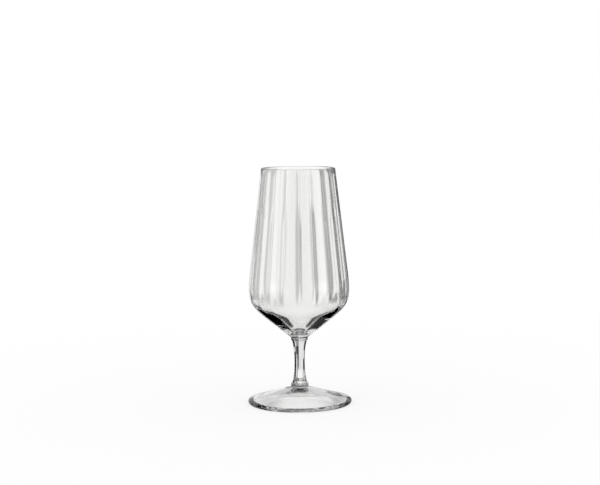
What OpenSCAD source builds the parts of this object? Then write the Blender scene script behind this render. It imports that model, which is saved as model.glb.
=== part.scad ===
// Tulip beer glass: a blown bowl with ribs inside, a drawn stem and a pressed foot, fused end to end.
// Lengths are in millimetres and angles in degrees. The glass stands on z = 0 with its axis on Z.

/* [Bowl] */
// Height of the bowl from its joint with the stem to the rim
bowl_h = 136.3; // [120:0.1:150]
// Outer diameter at the rim
rim_d = 58.2; // [52:0.2:66]
// Thickness of the rounded lip
rim_wall = 1.1; // [0.9:0.05:1.6]
// Outer diameter of the sharp corner that the belly is rounded from
corner_d = 82.8; // [76:0.2:92]
// Height of that corner above the joint with the stem
corner_h = 30.3; // [26:0.1:36]
// Length of the upright wall taken up by the rounding of the belly
round_up = 33; // [20:1:44]
// Length of the lower cone taken up by the rounding of the belly
round_down = 26; // [16:1:30]
// Thickness of the wall at the belly
belly_wall = 1.4; // [1.2:0.05:2.4]

/* [Bowl bottom] */
// Diameter of the neck above its shoulder
neck_d = 13.2; // [12.4:0.2:16]
// Height above the joint at which the lower cone meets the neck
neck_h = 2.4; // [2.3:0.1:4]
// Length of the fillet on each side of that corner
neck_round = 1; // [0.5:0.1:1.2]
// Thickness of the glass on the axis, from the joint up to the floor inside
floor_t = 7.7; // [6.5:0.1:9.5]
// Inside diameter at which the lower cone turns into the round floor
well_d = 21; // [18:0.5:28]
// Thickness of the lower cone at that turn
well_wall = 4; // [2.4:0.1:4.2]

/* [Ribs inside the bowl] */
// Number of upright ribs
rib_count = 20; // [8:1:24]
// Height of a rib above the wall, at the belly
rib_h = 0.3; // [0.25:0.05:0.5]
// Width of a rib where it stands highest
rib_w = 6.4; // [4:0.1:7]
// Distance below the rim at which the ribs run out
rib_top_gap = 4; // [2:0.5:20]
// Turn of the first rib from the front
rib_turn = 9.3; // [0:0.1:18]

/* [Stem] */
// Length of the stem between its two joints
stem_l = 33.6; // [24:0.2:60]
// Diameter of the stem at its middle
waist_d = 8.1; // [6:0.1:8.8]
// Diameter of the stem at its two joints
joint_d = 11.8; // [9:0.2:12.2]
// Power of the curve from the middle to the ends
flare_power = 2.5; // [2:0.1:5]
// Height over which the neck and the hub are rounded off towards the joints
shoulder_h = 1; // [0.5:0.1:1]

/* [Foot] */
// Outer diameter of the foot
foot_d = 82; // [70:0.5:96]
// Thickness of the rounded edge
foot_edge_t = 3.3; // [2.5:0.1:5]
// Height of the foot from the table to its joint with the stem
foot_h = 16.2; // [15:0.1:20]
// Diameter of the hub below its shoulder
hub_d = 13.8; // [12.4:0.2:17]
// Height of the hub, from the foot's cone up to the joint
hub_h = 3.2; // [2.9:0.1:5]
// Length of the fillet on each side of the corner between hub and cone
hub_round = 1.4; // [0.6:0.1:1.8]
// Width of the ring that the foot stands on, from the edge of the foot to the hollow
ring_w = 5; // [4:0.1:10]
// Height of the hollow at the axis
hollow_h = 8.5; // [5:0.1:8.8]
// Power of the hollow's curve from the axis to its edge
hollow_power = 1.4; // [1.2:0.1:2]

/* [Hidden] */
// Extra length of a cut past the face that it opens
cut_over = 1;
// Steps along each rounding and each curve
round_steps = 22;
fillet_steps = 10;
lip_steps = 8;
shoulder_steps = 6;
stem_steps = 32;
hollow_steps = 20;
// Shares of a curve's straight run that its handles take up
floor_handle_shares = [0.6, 0.65];

quarter_turn = 90;
full_turn = 360;
$fn = 96;

// Heights of the two joints
foot_joint_z = foot_h;
bowl_joint_z = foot_h + stem_l;

function unit(v) = v / norm(v);
function along(a, b, l) = a + unit(b - a) * l;
function bezier_at(p, t) =
    pow(1 - t, 3) * p[0] + 3 * pow(1 - t, 2) * t * p[1] + 3 * (1 - t) * t * t * p[2] + pow(t, 3) * p[3];
function bezier(p, n) = [for (i = [0:n]) bezier_at(p, i / n)];
// A corner k between a and b, rounded from la before it to lb after it
function rounded(a, k, b, la, lb, n) = bezier([along(k, a, la), k, k, along(k, b, lb)], n);
function on_circle(c, r, a) = c + r * [cos(a), sin(a)];
function arc(c, r, a, b, n) = [for (i = [0:n]) on_circle(c, r, a + (b - a) * i / n)];
// Angle on the circle at which a line from p touches it, on the side given as 1 or -1
function touch_angle(p, c, r, side) = atan2(p.y - c.y, p.x - c.x) + side * acos(r / norm(p - c));
// A quarter of an ellipse from the edge of a joint, where it runs level, to an upright side
function shoulder_at(joint, side, a) = joint + [(side.x - joint.x) * sin(a), (side.y - joint.y) * (1 - cos(a))];
function shoulder(joint, side, n) = [for (i = [0:n]) shoulder_at(joint, side, quarter_turn * i / n)];
function cross_of(u, v) = abs(u.x * v.y - u.y * v.x);

// Bowl outline, with z from the joint
lip_r = rim_wall / 2;
lip = [rim_d / 2 - lip_r, bowl_h - lip_r];
corner = [corner_d / 2, corner_h];
neck = [neck_d / 2, neck_h];
seat = [neck_d / 2, shoulder_h];
rim_angle = touch_angle(corner, lip, lip_r, 1);
rim = on_circle(lip, lip_r, rim_angle);
up = unit(rim - corner);
down = unit(neck - corner);
in_corner = corner + (up + down) * belly_wall / cross_of(up, down);
in_rim_angle = full_turn + touch_angle(in_corner, lip, lip_r, -1);
in_rim = on_circle(lip, lip_r, in_rim_angle);
// The lower cone inside runs parallel to a line well_wall above the one outside
well = [well_d / 2, neck_h - (well_d / 2 - neck.x) * down.y / -down.x + well_wall / -down.x];
well_run = unit(well - in_corner);
floor_curve = [
    [0, floor_t],
    [well.x * floor_handle_shares[0], floor_t],
    well + well_run * well.x * floor_handle_shares[1],
    well
];

outer_outline = concat(
    [[0, 0]],
    shoulder([joint_d / 2, 0], seat, shoulder_steps),
    rounded(seat, neck, corner, neck_round, neck_round, fillet_steps),
    rounded(neck, corner, rim, round_down, round_up, round_steps),
    arc(lip, lip_r, rim_angle, quarter_turn, lip_steps),
    [[0, bowl_h]]
);
cavity_outline = concat(
    bezier(floor_curve, fillet_steps),
    rounded(well, in_corner, in_rim, round_down - belly_wall, round_up - belly_wall, round_steps),
    arc(lip, lip_r, in_rim_angle, quarter_turn, lip_steps),
    [[lip.x, bowl_h + cut_over], [0, bowl_h + cut_over]]
);

// Ribs: round bars that stand rib_h proud of the wall at the belly and sink into it below the rim.
// A bar is less round than the wall is hollow, so that it meets the wall at the rib's two sides.
rib_foot = along(in_corner, in_rim, round_up);
rib_r = 1 / (8 * rib_h / pow(rib_w, 2) - 1 / rib_foot.x);
rib_low = rib_foot + [rib_r - rib_h, 0];
rib_high = along(in_rim, in_corner, rib_top_gap) + [rib_r, 0];
rib_tilt = atan2(rib_high.x - rib_low.x, rib_high.y - rib_low.y);
rib_l = norm(rib_high - rib_low);

// Stem outline, with z from the foot's joint
function stem_r(u) = (waist_d + (joint_d - waist_d) * pow(abs(u), flare_power)) / 2;
stem_outline = concat(
    [[0, 0]],
    [for (i = [0:stem_steps]) [stem_r(2 * i / stem_steps - 1), stem_l * i / stem_steps]],
    [[0, stem_l]]
);

// Foot outline
hollow_r = foot_d / 2 - ring_w;
function hollow_z(t) = hollow_h * (1 - pow(t, hollow_power));
edge_r = foot_edge_t / 2;
edge = [foot_d / 2 - edge_r, edge_r];
hub = [hub_d / 2, foot_h - shoulder_h];
hub_root = [hub_d / 2, foot_h - hub_h];
edge_angle = touch_angle(hub_root, edge, edge_r, -1);
foot_outline = concat(
    [for (i = [0:hollow_steps]) [hollow_r * i / hollow_steps, hollow_z(i / hollow_steps)]],
    arc(edge, edge_r, -quarter_turn, edge_angle, fillet_steps),
    rounded(on_circle(edge, edge_r, edge_angle), hub_root, hub, hub_round, hub_round, fillet_steps),
    [for (i = [0:shoulder_steps]) shoulder_at([joint_d / 2, foot_h], hub, quarter_turn * (1 - i / shoulder_steps))],
    [[0, foot_h]]
);

module ribs() {
    for (i = [0:rib_count - 1])
        rotate([0, 0, rib_turn - quarter_turn + i * full_turn / rib_count])
            translate([rib_low.x, 0, rib_low.y])
                rotate([0, rib_tilt, 0])
                    translate([0, 0, -round_up])
                        cylinder(h = round_up + rib_l + cut_over, r = rib_r);
}

module bowl() {
    color([0.86, 0.92, 0.93])
        translate([0, 0, bowl_joint_z])
            difference() {
                rotate_extrude() polygon(outer_outline);
                difference() {
                    rotate_extrude() polygon(cavity_outline);
                    ribs();
                }
            }
}

module stem() {
    color([0.80, 0.88, 0.90])
        translate([0, 0, foot_joint_z])
            rotate_extrude() polygon(stem_outline);
}

module foot() {
    color([0.74, 0.84, 0.87])
        rotate_extrude() polygon(foot_outline);
}

bowl();
stem();
foot();
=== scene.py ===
"""Dresses the tulip beer glass in clear glass and stands it on a white studio floor."""
import math
from typing import NamedTuple

import bpy
import numpy as np
from bpy.props import FloatProperty, FloatVectorProperty, IntProperty, PointerProperty
from bpy.types import Operator, Panel, PropertyGroup
from mathutils import Matrix, Vector


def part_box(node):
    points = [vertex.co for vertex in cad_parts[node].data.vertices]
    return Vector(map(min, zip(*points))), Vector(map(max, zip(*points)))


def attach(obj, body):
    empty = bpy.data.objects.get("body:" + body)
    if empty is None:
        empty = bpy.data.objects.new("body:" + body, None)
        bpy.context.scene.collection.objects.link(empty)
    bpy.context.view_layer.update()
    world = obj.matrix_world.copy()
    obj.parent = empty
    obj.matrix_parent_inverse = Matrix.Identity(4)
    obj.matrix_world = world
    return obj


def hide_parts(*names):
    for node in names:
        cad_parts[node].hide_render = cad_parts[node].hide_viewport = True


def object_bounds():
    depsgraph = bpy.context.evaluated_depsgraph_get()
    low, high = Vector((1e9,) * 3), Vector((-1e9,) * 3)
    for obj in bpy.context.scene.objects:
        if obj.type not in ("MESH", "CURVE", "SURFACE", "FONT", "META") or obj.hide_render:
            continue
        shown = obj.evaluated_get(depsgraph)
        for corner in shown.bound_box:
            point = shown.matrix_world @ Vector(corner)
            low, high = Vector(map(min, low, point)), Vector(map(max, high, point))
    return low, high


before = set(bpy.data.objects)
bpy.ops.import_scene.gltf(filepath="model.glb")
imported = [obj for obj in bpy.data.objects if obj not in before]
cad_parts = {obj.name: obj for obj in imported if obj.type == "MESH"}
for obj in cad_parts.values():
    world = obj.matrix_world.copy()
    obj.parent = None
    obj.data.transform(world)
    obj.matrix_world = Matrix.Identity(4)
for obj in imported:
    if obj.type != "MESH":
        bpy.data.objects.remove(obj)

bl_info = {
    "name": "Tulip beer glass",
    "version": (1, 0, 0),
    "blender": (4, 5, 0),
    "location": "3D View > Sidebar > Glass",
    "description": "Makes the bowl, stem and foot of a tulip beer glass and a white studio for them",
    "category": "Add Mesh",
}

CAD_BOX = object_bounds()
BOWL_LOW, BOWL_HIGH = (np.array(corner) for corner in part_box("bowl"))
STEM_LOW, STEM_HIGH = (np.array(corner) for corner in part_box("stem"))
FOOT_LOW, FOOT_HIGH = (np.array(corner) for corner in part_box("foot"))
BODY = "root"
PHOTO_WIDTH = 600

# Steps round the axis
TURNS = 600
STEM_TURNS = 200
FLOOR_TURNS = 96
# Steps along the lines of the bowl's outline, from the joint up the outside and down the inside
SHOULDER_STEPS = 8
NECK_FILLET_STEPS = 8
CONE_STEPS = 6
BELLY_STEPS = 32
WALL_STEPS = 10
LIP_STEPS = 12
IN_WALL_STEPS = 30
IN_BELLY_STEPS = 34
IN_CONE_STEPS = 5
WELL_STEPS = 14
# Steps along the stem, and along the lines of the foot's outline
STEM_STEPS = 80
HOLLOW_STEPS = 36
RING_STEPS = 5
EDGE_STEPS = 24
FOOT_CONE_STEPS = 24
HUB_FILLET_STEPS = 16
# Angle between two faces above which the edge between them is sharp
SHARP_ANGLE = math.radians(40)

# Finish of the glass: detail of its two noises, and the stretch of the second that turns into haze
WAVE_DETAIL = 1.0
HAZE_DETAIL = 3.0
HAZE_LOW, HAZE_HIGH = 0.4, 0.7

WHITE = (1.0, 1.0, 1.0, 1.0)
# Nearest distance that the camera shows, in metres
CAMERA_NEAR = 0.01
# Surfaces that light is followed through or off, and layers of cards that it is followed through
GLASS_BOUNCES = 32
GLOSS_BOUNCES = 16
CARD_LAYERS = 24


def length(name, description, default):
    """A length in metres that the sidebar shows in the scene's unit."""
    return FloatProperty(name=name, description=description, default=default, unit="LENGTH", precision=5)


def share(name, description, default):
    """A plain number from 0 to 1."""
    return FloatProperty(name=name, description=description, default=default,
                         min=0.0, max=1.0, subtype="FACTOR")


def angle(name, description, degrees):
    """An angle, given in degrees."""
    return FloatProperty(name=name, description=description, default=math.radians(degrees), subtype="ANGLE")


def number(name, description, default):
    """A number without a unit."""
    return FloatProperty(name=name, description=description, default=default)


class BowlSizes(PropertyGroup):
    """Sizes of the bowl, with heights above its joint with the stem."""
    height: length("Height", "From the joint with the stem to the rim", float(BOWL_HIGH[2] - BOWL_LOW[2]))
    rim_d: length("Rim diameter", "Outer diameter at the rim", 0.0582)
    rim_wall: length("Lip thickness", "Thickness of the rounded lip", 0.0011)
    corner_d: length("Corner diameter", "Diameter of the corner that the belly is rounded from", 0.0828)
    corner_h: length("Corner height", "Height of that corner", 0.0303)
    round_up: length("Rounding above", "Length of the upright wall taken up by the rounding", 0.033)
    round_down: length("Rounding below", "Length of the lower cone taken up by the rounding", 0.026)
    belly_wall: length("Belly wall", "Thickness of the wall at the belly", 0.0014)
    neck_d: length("Neck diameter", "Diameter of the neck above its shoulder", 0.0132)
    neck_h: length("Neck height", "Height at which the lower cone meets the neck", 0.0024)
    neck_round: length("Neck fillet", "Length of the fillet on each side of that corner", 0.001)
    floor_t: length("Floor thickness", "Thickness of the glass on the axis", 0.0077)
    well_d: length("Well diameter", "Inside diameter at which the lower cone turns into the floor", 0.021)
    well_wall: length("Well wall", "Thickness of the lower cone at that turn", 0.004)
    rib_count: IntProperty(name="Ribs", description="Number of upright ribs", default=20, min=3)
    rib_h: length("Rib height", "Height of the ribs above the grooves at the belly", 0.00023)
    rib_rim_h: length("Rib height above", "Height of the ribs in the upper part", 0.00009)
    rib_high: length("Upper part", "Height above which the ribs are as low as that", 0.1125)
    rib_full: length("Lower part", "Height below which the ribs have their full height", 0.0885)
    rib_top_fade: length("Rib top", "Height below the lip over which the ribs rise", 0.004)
    rib_low_h: length("Rib foot height", "Height at which the ribs start to sink into the belly", 0.0445)
    rib_low_fade: length("Rib foot fade", "Height over which they sink away", 0.022)
    groove_w: angle("Groove width", "Half width of the grooves between the ribs", 3.1)
    groove_turn: angle("Groove turn", "Turn of the first groove from the front", 0.3)
    handle_in: share("Floor handle", "Share of the well's radius that the floor runs level", 0.6)
    handle_out: share("Well handle", "Share of the well's radius that the cone runs on straight", 0.65)


class StemSizes(PropertyGroup):
    """Sizes of the stem and of the shoulders that the neck and the hub have round its ends."""
    waist_d: length("Waist diameter", "Diameter at the middle", 0.0081)
    end_d: length("End diameter", "Diameter at the two joints", 0.0118)
    shoulder_h: length("Shoulder height", "Height over which the neck and the hub are rounded off", 0.001)
    flare_power: number("Flare power", "Power of the curve from the middle to the ends", 2.5)


class FootSizes(PropertyGroup):
    """Sizes of the foot, with heights above the table."""
    diameter: length("Diameter", "Outer diameter", float(FOOT_HIGH[0] - FOOT_LOW[0]))
    edge_t: length("Edge thickness", "Thickness of the rounded edge", 0.0033)
    hub_d: length("Hub diameter", "Diameter of the hub below its shoulder", 0.0138)
    hub_h: length("Hub height", "From the cone up to the joint", 0.0032)
    hub_round: length("Hub fillet", "Length of the fillet on each side of the hub's corner", 0.0014)
    hollow_d: length("Hollow diameter", "Diameter of the hollow underneath", 0.072)
    hollow_h: length("Hollow height", "Height of the hollow at the axis", 0.0085)
    hollow_power: number("Hollow power", "Power of the hollow's curve", 1.4)


class GlassFinish(PropertyGroup):
    """Finish of the clear glass."""
    tint: FloatVectorProperty(name="Tint", description="Colour of light that has passed through",
                              default=(0.995, 0.995, 0.989), size=3, min=0.0, max=1.0, subtype="COLOR")
    ior: number("Index", "Refractive index of soda-lime glass", 1.51)
    wave_h: length("Wave height", "Height of the slow waves of the blown surface", 0.00006)
    wave_scale: number("Wave scale", "Waves to a metre round the glass", 55.0)
    wave_draw: share("Wave draw", "How far the waves are drawn out upwards, by their scale", 0.35)
    polish_low: share("Polish", "Roughness where the surface is cleanest", 0.0)
    polish_high: share("Haze", "Roughness where it has the faintest haze", 0.012)
    polish_scale: number("Polish scale", "Patches of haze to a metre", 90.0)


class StudioLook(PropertyGroup):
    """The white floor and the light."""
    floor_radius: length("Floor radius", "Radius of the round floor", 3.0)
    floor_white: share("Floor white", "Brightness of the floor where nothing shades it", 0.97)
    floor_glow: share("Floor glow", "Share of the floor's white that shade leaves alone", 0.7)
    floor_plain: length("Plain floor", "Radius inside which the floor is a plain white surface", 0.15)
    floor_fade: length("Floor fade", "Radius at which the floor has turned into the white room", 0.6)
    light: number("Light", "Strength of the even light on the object", 1.0)
    ceiling: share("Ceiling", "Brightness that the glass sees overhead", 0.04)
    ceiling_low: angle("Ceiling start", "Height angle at which the room starts to turn greyer", 2.0)
    ceiling_high: angle("Ceiling end", "Height angle at which it has the ceiling's grey", 38.2)
    ground: share("Ground", "Brightness that the glass sees underneath", 0.00)
    ground_low: angle("Ground end", "Height angle at which the room has the ground's grey", -18.0)
    ground_high: angle("Ground start", "Height angle at which it starts to turn to that grey", -3.0)


class CameraView(PropertyGroup):
    """The camera, at the photo's angle."""
    distance: length("Distance", "Distance from the axis, in front of the glass", 1.186)
    height: length("Height", "Height above the table", 0.24415)
    sideways: length("Sideways", "Distance to the right of the axis", 0.0011)
    pitch: angle("Pitch", "Angle looking down", 5.62)
    roll: angle("Roll", "Turn about the line of sight", -0.48)
    focal_px: number("Focal length", "Focal length in pixels of the photo", 1517.0)


# Curves in the plane of radius and height

def unit(vector):
    """The vector divided by its length."""
    return vector / np.linalg.norm(vector)


def point(radius, height):
    """A point of the plane."""
    return np.array((radius, height), dtype=float)


def along(start, end, distance):
    """The point at a distance from start towards end."""
    return start + unit(end - start) * distance


def bezier(p0, p1, p2, p3, steps):
    """Cubic curve (1-t)^3 p0 + 3 (1-t)^2 t p1 + 3 (1-t) t^2 p2 + t^3 p3, at even values of t."""
    t = np.linspace(0.0, 1.0, steps + 1)[:, None]
    return (1 - t) ** 3 * p0 + 3 * (1 - t) ** 2 * t * p1 + 3 * (1 - t) * t ** 2 * p2 + t ** 3 * p3


def rounded(before, corner, after, length_before, length_after, steps):
    """A corner rounded by a cubic curve whose two middle points lie on the corner."""
    first = along(corner, before, length_before)
    last = along(corner, after, length_after)
    return bezier(first, corner, corner, last, steps)


def straight(start, end, steps):
    """Points between start and end, without the two ends."""
    return start + (end - start) * np.linspace(0.0, 1.0, steps + 1)[1:-1, None]


def on_circle(centre, radius, angle):
    """The point centre + radius (cos a, sin a)."""
    return centre + radius * np.array((math.cos(angle), math.sin(angle)))


def arc(centre, radius, start, end, steps):
    """Points of a circle from one angle to another."""
    angles = np.linspace(start, end, steps + 1)
    return centre + radius * np.stack((np.cos(angles), np.sin(angles)), axis=1)


def touch_angle(outside, centre, radius, side):
    """Angle on a circle at which a line from a point outside touches it, on the side given as 1 or -1."""
    away = outside - centre
    return math.atan2(away[1], away[0]) + side * math.acos(radius / np.linalg.norm(away))


def shoulder(joint, side, steps):
    """Quarter of an ellipse from the edge of a joint, where it runs level, to an upright side."""
    t = np.linspace(0.0, math.pi / 2, steps + 1)
    return joint + (side - joint) * np.stack((np.sin(t), 1 - np.cos(t)), axis=1)


def smooth_step(values, low, high):
    """3 t^2 - 2 t^3, where t runs from 0 at low to 1 at high."""
    t = np.clip((values - low) / (high - low), 0.0, 1.0)
    return t * t * (3 - 2 * t)


# Surfaces

def revolve(profile, turns, lift=None):
    """Carries a profile of radius and height round the axis.

    Point (i, j) is (r cos a, r sin a, z) with a = 2 pi j / turns and r = profile radius i, less lift(i, j).
    The first and last points of the profile lie on the axis and close the surface as poles.
    Gives the vertices, and the faces as one array of triangles and one of quads.
    """
    angles = np.arange(turns) * 2 * math.pi / turns
    rings = profile[1:-1]
    radius = np.repeat(rings[:, :1], turns, axis=1)
    height = np.repeat(rings[:, 1:], turns, axis=1)
    if lift is not None:
        radius = radius - lift(rings, angles)
    grid = np.stack((radius * np.cos(angles), radius * np.sin(angles), height), axis=2)
    poles = [(0.0, 0.0, profile[0, 1]), (0.0, 0.0, profile[-1, 1])]
    vertices = np.concatenate((grid.reshape(-1, 3), poles))
    index = np.arange(len(rings) * turns).reshape(len(rings), turns)
    after = np.roll(index, -1, axis=1)
    quads = np.stack((index[:-1], after[:-1], after[1:], index[1:]), axis=2).reshape(-1, 4)
    first = np.full(turns, len(vertices) - 2)
    last = np.full(turns, len(vertices) - 1)
    low_fan = np.stack((first, after[0], index[0]), axis=1)
    high_fan = np.stack((index[-1], after[-1], last), axis=1)
    return vertices, np.concatenate((low_fan, high_fan)), quads


def glass_object(name, node, vertices, fans, quads, weld_fans):
    """Makes a closed glass piece that stands for a node.

    weld_fans marks the fans that are fused to the next piece.
    """
    mesh = bpy.data.meshes.new(name)
    corners = np.concatenate((fans.ravel(), quads.ravel()))
    sizes = np.concatenate((np.full(len(fans), 3), np.full(len(quads), 4)))
    mesh.vertices.add(len(vertices))
    mesh.vertices.foreach_set("co", vertices.ravel())
    mesh.loops.add(len(corners))
    mesh.loops.foreach_set("vertex_index", corners.astype(np.int32))
    mesh.polygons.add(len(sizes))
    starts = np.concatenate(((0,), np.cumsum(sizes)[:-1]))
    mesh.polygons.foreach_set("loop_start", starts.astype(np.int32))
    mesh.materials.append(clear_glass())
    mesh.materials.append(fused_joint())
    slots = np.zeros(len(sizes), dtype=np.int32)
    slots[:len(fans)] = weld_fans
    mesh.polygons.foreach_set("material_index", slots)
    mesh.update(calc_edges=True)
    mesh.validate()
    mesh.shade_smooth()
    mesh.set_sharp_from_angle(angle=SHARP_ANGLE)
    piece = bpy.data.objects.new(name, mesh)
    bpy.context.scene.collection.objects.link(piece)
    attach(piece, BODY)
    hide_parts(node)
    return piece


# Materials

def new_material(name):
    """A material with its node tree emptied, and the output node."""
    material = bpy.data.materials.new(name)
    material.use_nodes = True
    material.node_tree.nodes.clear()
    return material, material.node_tree, material.node_tree.nodes.new("ShaderNodeOutputMaterial")


def add(tree, kind, **values):
    """A new node, with the values of its settings."""
    node = tree.nodes.new(kind)
    for name, value in values.items():
        setattr(node, name, value)
    return node


def smooth_range(tree, value, low, high, start=0.0, end=1.0):
    """Runs smoothly from start, where the value is low, to end, where it is high."""
    node = add(tree, "ShaderNodeMapRange", interpolation_type="SMOOTHSTEP")
    for name, amount in zip(("From Min", "From Max", "To Min", "To Max"), (low, high, start, end)):
        node.inputs[name].default_value = amount
    tree.links.new(value, node.inputs["Value"])
    return node.outputs["Result"]


def math_node(tree, operation, first, second):
    """One step of arithmetic on two outputs."""
    node = add(tree, "ShaderNodeMath", operation=operation)
    tree.links.new(first, node.inputs[0])
    tree.links.new(second, node.inputs[1])
    return node.outputs[0]


def mix_shaders(tree, amount, first, second):
    """Shows the first shader where the amount is 0 and the second where it is 1."""
    node = add(tree, "ShaderNodeMixShader")
    tree.links.new(amount, node.inputs["Fac"])
    tree.links.new(first.outputs[0], node.inputs[1])
    tree.links.new(second.outputs[0], node.inputs[2])
    return node


def clear_glass():
    """Clear soda-lime glass with a faint polish and the slow waves of blown glass."""
    if "blown_glass" in bpy.data.materials:
        return bpy.data.materials["blown_glass"]
    finish = bpy.context.scene.glass_finish
    material, tree, output = new_material("blown_glass")
    shader = add(tree, "ShaderNodeBsdfPrincipled")
    shader.inputs["Base Color"].default_value = (*finish.tint, 1.0)
    shader.inputs["IOR"].default_value = finish.ior
    shader.inputs["Transmission Weight"].default_value = 1.0
    place = add(tree, "ShaderNodeTexCoord")
    drawn = add(tree, "ShaderNodeMapping")
    drawn.inputs["Scale"].default_value = (1.0, 1.0, finish.wave_draw)
    tree.links.new(place.outputs["Object"], drawn.inputs["Vector"])
    waves = add(tree, "ShaderNodeTexNoise")
    waves.inputs["Scale"].default_value = finish.wave_scale
    waves.inputs["Detail"].default_value = WAVE_DETAIL
    tree.links.new(drawn.outputs["Vector"], waves.inputs["Vector"])
    bump = add(tree, "ShaderNodeBump")
    bump.inputs["Distance"].default_value = finish.wave_h
    tree.links.new(waves.outputs["Fac"], bump.inputs["Height"])
    tree.links.new(bump.outputs["Normal"], shader.inputs["Normal"])
    haze = add(tree, "ShaderNodeTexNoise")
    haze.inputs["Scale"].default_value = finish.polish_scale
    haze.inputs["Detail"].default_value = HAZE_DETAIL
    tree.links.new(place.outputs["Object"], haze.inputs["Vector"])
    rough = smooth_range(tree, haze.outputs["Fac"], HAZE_LOW, HAZE_HIGH,
                         finish.polish_low, finish.polish_high)
    tree.links.new(rough, shader.inputs["Roughness"])
    tree.links.new(shader.outputs["BSDF"], output.inputs["Surface"])
    return material


def fused_joint():
    """The face between two fused pieces. Light goes straight through, as the glass goes on behind it."""
    if "fused_joint" in bpy.data.materials:
        return bpy.data.materials["fused_joint"]
    material, tree, output = new_material("fused_joint")
    shader = add(tree, "ShaderNodeBsdfTransparent")
    tree.links.new(shader.outputs["BSDF"], output.inputs["Surface"])
    return material


# Pieces

def bowl_profile(sizes, stem):
    """Outline of the bowl from the joint up the outside, over the lip and down the inside to the floor.

    Gives the points and a mask of those on the inside.
    """
    lip_r = sizes.rim_wall / 2
    lip = point(sizes.rim_d / 2 - lip_r, sizes.height - lip_r)
    corner = point(sizes.corner_d / 2, sizes.corner_h)
    neck = point(sizes.neck_d / 2, sizes.neck_h)
    seat = point(sizes.neck_d / 2, stem.shoulder_h)
    rim_angle = touch_angle(corner, lip, lip_r, 1)
    rim = on_circle(lip, lip_r, rim_angle)
    up = unit(rim - corner)
    down = unit(neck - corner)
    in_corner = corner + (up + down) * sizes.belly_wall / abs(up[0] * down[1] - up[1] * down[0])
    in_angle = 2 * math.pi + touch_angle(in_corner, lip, lip_r, -1)
    in_rim = on_circle(lip, lip_r, in_angle)
    well_r = sizes.well_d / 2
    cone_h = sizes.neck_h + (well_r - neck[0]) * down[1] / down[0]
    well = point(well_r, cone_h - sizes.well_wall / down[0])
    run = unit(well - in_corner)
    foot = shoulder(point(stem.end_d / 2, 0.0), seat, SHOULDER_STEPS)
    fillet = rounded(seat, neck, corner, sizes.neck_round, sizes.neck_round, NECK_FILLET_STEPS)
    belly = rounded(neck, corner, rim, sizes.round_down, sizes.round_up, BELLY_STEPS)
    lip_line = arc(lip, lip_r, rim_angle, in_angle, LIP_STEPS)
    in_up = sizes.round_up - sizes.belly_wall
    in_down = sizes.round_down - sizes.belly_wall
    in_belly = rounded(in_rim, in_corner, well, in_up, in_down, IN_BELLY_STEPS)
    well_handle = well + run * well_r * sizes.handle_out
    floor_handle = point(well_r * sizes.handle_in, sizes.floor_t)
    floor = bezier(well, well_handle, floor_handle, point(0.0, sizes.floor_t), WELL_STEPS)
    cone = straight(fillet[-1], belly[0], CONE_STEPS)
    wall = straight(belly[-1], lip_line[0], WALL_STEPS)
    in_wall = straight(lip_line[-1], in_belly[0], IN_WALL_STEPS)
    in_cone = straight(in_belly[-1], well, IN_CONE_STEPS)
    outside = np.concatenate((point(0.0, 0.0)[None], foot, fillet, cone, belly, wall, lip_line))
    inside = np.concatenate((in_wall, in_belly, in_cone, floor))
    points = np.concatenate((outside, inside))
    return points, np.arange(len(points)) >= len(outside)


class GLASS_OT_bowl(Operator):
    """Make the blown bowl with its ribs inside"""
    bl_idname = "glass.bowl"
    bl_label = "Bowl"

    def execute(self, context):
        sizes = context.scene.glass_bowl
        profile, inside = bowl_profile(sizes, context.scene.glass_stem)
        ribbed = inside[1:-1]
        top = sizes.height - sizes.rim_wall
        pitch = 2 * math.pi / sizes.rib_count

        def rib_lift(rings, angles):
            """Rib height times 1 - exp(-(a / w)^2), with a the angle from a groove and w its half width.

            The rib height runs smoothly from the belly's to the upper part's, and to nothing at both ends.
            """
            height = rings[:, 1]
            upper = smooth_step(height, sizes.rib_full, sizes.rib_high)
            rise = sizes.rib_h + (sizes.rib_rim_h - sizes.rib_h) * upper
            rise = rise * (1 - smooth_step(height, top - sizes.rib_top_fade, top)) * ribbed
            rise = rise * smooth_step(height, sizes.rib_low_h - sizes.rib_low_fade, sizes.rib_low_h)
            turned = angles - (sizes.groove_turn - math.pi / 2)
            off = (turned + pitch / 2) % pitch - pitch / 2
            return rise[:, None] * (1 - np.exp(-(off / sizes.groove_w) ** 2))

        vertices, fans, quads = revolve(profile, TURNS, rib_lift)
        vertices[:, 2] += BOWL_LOW[2]
        weld = np.arange(len(fans)) < TURNS
        glass_object("bowl_glass", "bowl", vertices, fans, quads, weld)
        return {"FINISHED"}


class GLASS_OT_stem(Operator):
    """Make the solid waisted stem"""
    bl_idname = "glass.stem"
    bl_label = "Stem"

    def execute(self, context):
        """The radius runs from the waist's at u = 0 to the ends' at u = -1 and 1, with a power of u."""
        sizes = context.scene.glass_stem
        waist_r = sizes.waist_d / 2
        u = np.linspace(-1.0, 1.0, STEM_STEPS + 1)
        radius = waist_r + (sizes.end_d / 2 - waist_r) * np.abs(u) ** sizes.flare_power
        low, high = STEM_LOW[2], STEM_HIGH[2]
        height = low + (high - low) * (u + 1) / 2
        side = np.stack((radius, height), axis=1)
        profile = np.concatenate((point(0.0, low)[None], side, point(0.0, high)[None]))
        vertices, fans, quads = revolve(profile, STEM_TURNS)
        glass_object("stem_glass", "stem", vertices, fans, quads, np.ones(len(fans)))
        return {"FINISHED"}


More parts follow.
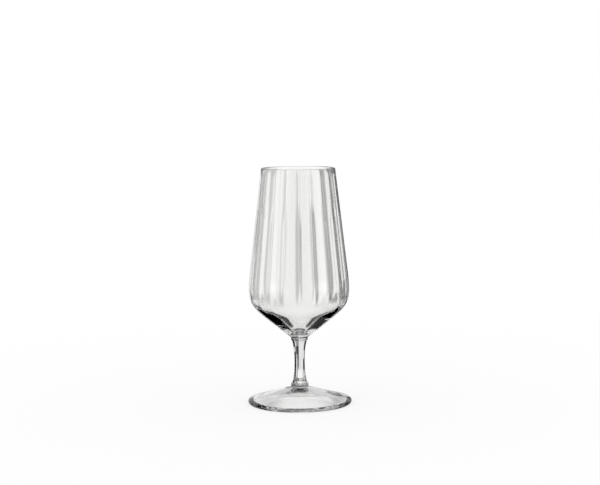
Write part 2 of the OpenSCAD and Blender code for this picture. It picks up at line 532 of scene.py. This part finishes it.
class GLASS_OT_foot(Operator):
    """Make the pressed foot, a low cone with a rounded edge and a hollow underneath"""
    bl_idname = "glass.foot"
    bl_label = "Foot"

    def execute(self, context):
        """The hollow's height is its height on the axis times 1 - t^p, with t from the axis to its edge."""
        sizes = context.scene.glass_foot
        stem = context.scene.glass_stem
        height = FOOT_HIGH[2] - FOOT_LOW[2]
        edge_r = sizes.edge_t / 2
        edge = point(sizes.diameter / 2 - edge_r, edge_r)
        hub = point(sizes.hub_d / 2, height - stem.shoulder_h)
        root = point(sizes.hub_d / 2, height - sizes.hub_h)
        edge_angle = touch_angle(root, edge, edge_r, -1)
        t = np.linspace(0.0, 1.0, HOLLOW_STEPS + 1)
        hollow = np.stack((sizes.hollow_d / 2 * t, sizes.hollow_h * (1 - t ** sizes.hollow_power)), axis=1)
        rim = arc(edge, edge_r, -math.pi / 2, edge_angle, EDGE_STEPS)
        ring = straight(hollow[-1], rim[0], RING_STEPS)
        fillet = rounded(rim[-1], root, hub, sizes.hub_round, sizes.hub_round, HUB_FILLET_STEPS)
        cone = straight(rim[-1], fillet[0], FOOT_CONE_STEPS)
        collar = shoulder(point(stem.end_d / 2, height), hub, SHOULDER_STEPS)[::-1]
        profile = np.concatenate((hollow, ring, rim, cone, fillet, collar, point(0.0, height)[None]))
        vertices, fans, quads = revolve(profile, TURNS)
        weld = np.arange(len(fans)) >= TURNS
        glass_object("foot_glass", "foot", vertices, fans, quads, weld)
        return {"FINISHED"}


# Studio

def room_light(tree, strength):
    """White light from all round."""
    node = add(tree, "ShaderNodeBackground")
    node.inputs["Color"].default_value = WHITE
    node.inputs["Strength"].default_value = strength
    return node


def white_world(look):
    """Even light. The camera sees it white.

    The glass sees it white at eye level and darker above and below, by the product of two smooth steps.
    """
    world = bpy.data.worlds.new("white_room")
    bpy.context.scene.world = world
    world.use_nodes = True
    tree = world.node_tree
    tree.nodes.clear()
    light = room_light(tree, look.light)
    white = room_light(tree, 1.0)
    room = room_light(tree, 1.0)
    direction = add(tree, "ShaderNodeTexCoord")
    parts = add(tree, "ShaderNodeSeparateXYZ")
    tree.links.new(direction.outputs["Generated"], parts.inputs[0])
    upwards = parts.outputs["Z"]
    ceiling_low, ceiling_high = math.sin(look.ceiling_low), math.sin(look.ceiling_high)
    ground_low, ground_high = math.sin(look.ground_low), math.sin(look.ground_high)
    above = smooth_range(tree, upwards, ceiling_low, ceiling_high, 1.0, look.ceiling)
    below = smooth_range(tree, upwards, ground_low, ground_high, look.ground, 1.0)
    tree.links.new(math_node(tree, "MULTIPLY", above, below), room.inputs["Strength"])
    path = add(tree, "ShaderNodeLightPath")
    glassy = math_node(tree, "MAXIMUM", path.outputs["Is Glossy Ray"], path.outputs["Is Transmission Ray"])
    seen = mix_shaders(tree, glassy, light, room)
    final = mix_shaders(tree, path.outputs["Is Camera Ray"], seen, white)
    output = add(tree, "ShaderNodeOutputWorld")
    tree.links.new(final.outputs[0], output.inputs["Surface"])


def white_floor(look):
    """A round floor at the foot's level. It takes the glass's soft shadow and turns white at its edge."""
    material, tree, output = new_material("white_floor")
    diffuse = add(tree, "ShaderNodeBsdfDiffuse")
    diffuse.inputs["Color"].default_value = (look.floor_white, look.floor_white, look.floor_white, 1.0)
    glow = add(tree, "ShaderNodeEmission")
    place = add(tree, "ShaderNodeTexCoord")
    reach = add(tree, "ShaderNodeVectorMath", operation="LENGTH")
    tree.links.new(place.outputs["Object"], reach.inputs[0])
    amount = smooth_range(tree, reach.outputs["Value"], look.floor_plain, look.floor_fade,
                          look.floor_glow, 1.0)
    mix = mix_shaders(tree, amount, diffuse, glow)
    tree.links.new(mix.outputs[0], output.inputs["Surface"])
    angles = np.arange(FLOOR_TURNS) * 2 * math.pi / FLOOR_TURNS
    ring = np.stack((np.cos(angles), np.sin(angles), np.zeros(FLOOR_TURNS)), axis=1) * look.floor_radius
    mesh = bpy.data.meshes.new("studio_floor")
    mesh.from_pydata(ring.tolist(), [], [list(range(FLOOR_TURNS))])
    mesh.materials.append(material)
    floor = bpy.data.objects.new("studio_floor", mesh)
    floor.visible_glossy = False
    floor.visible_transmission = False
    bpy.context.scene.collection.objects.link(floor)


class Card(NamedTuple):
    """A soft-edged card round the glass, in degrees. Azimuth 0 is behind the glass and 90 on its right.

    The edges are left and right in azimuth and low and high in height angle, and soft is their width.
    A shade of 0 is black and 1 is white.
    """
    name: str
    left: float
    right: float
    low: float
    high: float
    shade: float
    soft: float


# Each card hangs a little in front of the one before it
CARDS = (
    Card("white_left", -47.5, -5.4, -11.6, 4.5, 0.82, 0.8),
    Card("white_left_tall", -33.0, -5.4, -26.0, 14.0, 0.82, 1.2),
    Card("white_behind", -5.7, 6.4, -38.3, 0.9, 1.00, 2.0),
    Card("white_front_right", 122.0, 148.0, -36.0, -4.0, 1.00, 4.0),
    Card("black_right", 2.5, 115.2, -30.0, 50.0, 0.00, 1.3),
    Card("white_far_right", 38.0, 60.0, -3.4, 4.0, 1.00, 1.0),
    Card("grey_right_low", 8.0, 24.0, -30.0, -7.0, 0.32, 3.0),
    Card("grey_right_mid", 9.0, 22.5, -10.0, -5.2, 0.22, 1.2),
    Card("grey_right_fill", 9.0, 23.5, -5.6, 1.4, 0.07, 0.8),
    Card("grey_right_high", 8.0, 24.0, 0.8, 16.0, 0.36, 1.6),
    Card("white_line_low", 23.0, 32.0, -30.0, -8.0, 0.90, 1.2),
    Card("white_line_mid", 24.0, 33.0, -9.0, -5.2, 0.75, 1.0),
    Card("white_line_fill", 24.0, 33.0, -5.8, 1.6, 0.32, 0.8),
    Card("white_line_high", 23.0, 32.0, 1.0, 14.0, 0.90, 1.2),
    Card("black_camera_side", 150.0, 210.0, -90.0, 90.0, 0.03, 8.0),
    Card("black_left", -78.8, -48.4, -12.9, 2.8, 0.00, 0.8),
    Card("black_left_low", -78.8, -33.0, -30.0, -8.8, 0.00, 0.8),
    Card("grey_strip_right", 1.0, 8.9, -35.8, 9.2, 0.51, 3.9),
    Card("grey_strip_left", -5.4, -0.9, -35.9, 8.1, 0.64, 2.2),
    Card("white_strip", -12.0, -10.6, -34.7, 9.8, 1.00, 0.7),
    Card("black_left_high", -72.4, -34.0, -1.6, 90.0, 0.04, 0.8),
    Card("black_far_left_high", -104.0, -71.0, 9.0, 90.0, 0.04, 0.8),
    Card("black_top_left", -34.4, -10.5, 14.0, 90.0, 0.04, 0.8),
    Card("black_floor_left", -180.0, -3.0, -46.2, -29.3, 0.00, 0.8),
    Card("grey_above", -42.4, 35.6, 10.7, 33.6, 0.60, 0.8),
    Card("white_left_low", -56.0, -34.0, -46.0, -15.0, 1.00, 4.0),
    Card("white_far_left", -103.0, -77.0, -36.0, -6.0, 0.90, 6.0),
    Card("white_below", -17.0, 17.0, -47.0, -12.0, 1.00, 5.0),
    Card("black_below_left", -12.5, -3.6, -34.5, -24.5, 0.02, 1.6),
    Card("black_below_right", 4.0, 12.5, -35.0, -25.5, 0.04, 1.6),
    Card("grey_ground", -182.0, 182.0, -90.0, -56.0, 0.35, 2.0),
    Card("grey_strip_45", -49.0, -41.0, -36.0, -16.0, 0.70, 3.5),
    Card("grey_strip_135", 131.0, 139.0, -30.0, -5.0, 0.70, 3.5),
    Card("grey_strip_90", -94.0, -86.0, -13.0, 6.0, 0.70, 3.5),
)
# Distance of the first card and gap to the next, in metres, and degrees between a card's points
CARD_DISTANCE = 20.0
CARD_GAP = 0.01
CARD_STEP = 4.0


def between_edges(tree, value, width, soft):
    """Rises from 0 to 1 over a soft edge at 0, and falls back over the one at the width."""
    rise = smooth_range(tree, value, 0.0, soft)
    fall = smooth_range(tree, value, width - soft, width, 1.0, 0.0)
    return math_node(tree, "MULTIPLY", rise, fall)


def card_material(card):
    """Lets light past at the card's edges and shows its shade inside them.

    The UV map is in degrees from the card's lower left corner.
    """
    material, tree, output = new_material(card.name)
    place = add(tree, "ShaderNodeUVMap", uv_map="degrees")
    parts = add(tree, "ShaderNodeSeparateXYZ")
    tree.links.new(place.outputs["UV"], parts.inputs[0])
    across = between_edges(tree, parts.outputs["X"], card.right - card.left, card.soft)
    upright = between_edges(tree, parts.outputs["Y"], card.high - card.low, card.soft)
    shade = add(tree, "ShaderNodeEmission")
    shade.inputs["Color"].default_value = (card.shade, card.shade, card.shade, 1.0)
    clear = add(tree, "ShaderNodeBsdfTransparent")
    mix = mix_shaders(tree, math_node(tree, "MULTIPLY", across, upright), clear, shade)
    tree.links.new(mix.outputs[0], output.inputs["Surface"])
    return material


def stage_card(card, distance):
    """A patch of a sphere about the glass that only the glass sees, by reflection or through itself.

    Its points are centre + distance (sin a cos e, cos a cos e, sin e), with azimuth a and height angle e.
    """
    columns = 2 + int((card.right - card.left) / CARD_STEP)
    rows = 2 + int((card.high - card.low) / CARD_STEP)
    azimuths = np.linspace(card.left, card.right, columns)
    azimuth, elevation = np.meshgrid(azimuths, np.linspace(card.low, card.high, rows))
    a, e = np.radians(azimuth), np.radians(elevation)
    centre = np.array((0.0, 0.0, (CAD_BOX[0][2] + CAD_BOX[1][2]) / 2))
    outwards = np.stack((np.sin(a) * np.cos(e), np.cos(a) * np.cos(e), np.sin(e)), axis=2)
    points = centre + distance * outwards
    index = np.arange(rows * columns).reshape(rows, columns)
    corners = (index[:-1, :-1], index[:-1, 1:], index[1:, 1:], index[1:, :-1])
    quads = np.stack(corners, axis=2).reshape(-1, 4)
    mesh = bpy.data.meshes.new(card.name)
    mesh.from_pydata(points.reshape(-1, 3).tolist(), [], quads.tolist())
    degrees = np.stack((azimuth - card.left, elevation - card.low), axis=2).reshape(-1, 2)
    mesh.uv_layers.new(name="degrees").data.foreach_set("uv", degrees[quads.ravel()].ravel())
    mesh.materials.append(card_material(card))
    sheet = bpy.data.objects.new(card.name, mesh)
    sheet.visible_camera = False
    sheet.visible_diffuse = False
    sheet.visible_shadow = False
    bpy.context.scene.collection.objects.link(sheet)


class GLASS_OT_stage(Operator):
    """Make the floor, the light and the camera"""
    bl_idname = "glass.stage"
    bl_label = "Studio and camera"

    def execute(self, context):
        scene = context.scene
        white_world(scene.glass_studio)
        white_floor(scene.glass_studio)
        for place, card in enumerate(CARDS):
            stage_card(card, CARD_DISTANCE - CARD_GAP * place)
        view = scene.glass_camera
        lens = bpy.data.cameras.new("photo_camera")
        lens.sensor_fit = "HORIZONTAL"
        lens.lens = view.focal_px / PHOTO_WIDTH * lens.sensor_width
        lens.clip_start = CAMERA_NEAR
        camera = bpy.data.objects.new("photo_camera", lens)
        turn = Matrix.Rotation(math.pi / 2 - view.pitch, 4, "X") @ Matrix.Rotation(view.roll, 4, "Z")
        stand = Vector((view.sideways, -view.distance, view.height))
        camera.matrix_world = Matrix.Translation(stand) @ turn
        scene.collection.objects.link(camera)
        scene.camera = camera
        scene.view_settings.view_transform = "Standard"
        scene.cycles.max_bounces = GLASS_BOUNCES
        scene.cycles.transmission_bounces = GLASS_BOUNCES
        scene.cycles.glossy_bounces = GLOSS_BOUNCES
        scene.cycles.transparent_max_bounces = CARD_LAYERS
        return {"FINISHED"}


class GLASS_PT_panel(Panel):
    """Lists the sizes and the steps that make the glass"""
    bl_idname = "GLASS_PT_panel"
    bl_label = "Tulip beer glass"
    bl_space_type = "VIEW_3D"
    bl_region_type = "UI"
    bl_category = "Glass"

    def draw(self, context):
        for group in GROUPS:
            sizes = getattr(context.scene, group)
            box = self.layout.box()
            for name in sizes.__annotations__:
                box.prop(sizes, name)
        for step in STEPS:
            self.layout.operator(step.bl_idname)


GROUPS = {
    "glass_bowl": BowlSizes,
    "glass_stem": StemSizes,
    "glass_foot": FootSizes,
    "glass_finish": GlassFinish,
    "glass_studio": StudioLook,
    "glass_camera": CameraView,
}
STEPS = (GLASS_OT_bowl, GLASS_OT_stem, GLASS_OT_foot, GLASS_OT_stage)


def register():
    for name, group in GROUPS.items():
        bpy.utils.register_class(group)
        setattr(bpy.types.Scene, name, PointerProperty(type=group))
    for cls in (*STEPS, GLASS_PT_panel):
        bpy.utils.register_class(cls)


def unregister():
    for cls in (GLASS_PT_panel, *reversed(STEPS)):
        bpy.utils.unregister_class(cls)
    for name, group in reversed(GROUPS.items()):
        delattr(bpy.types.Scene, name)
        bpy.utils.unregister_class(group)


def main():
    register()
    bpy.ops.glass.bowl()
    bpy.ops.glass.stem()
    bpy.ops.glass.foot()
    bpy.ops.glass.stage()


if __name__ == "__main__":
    main()
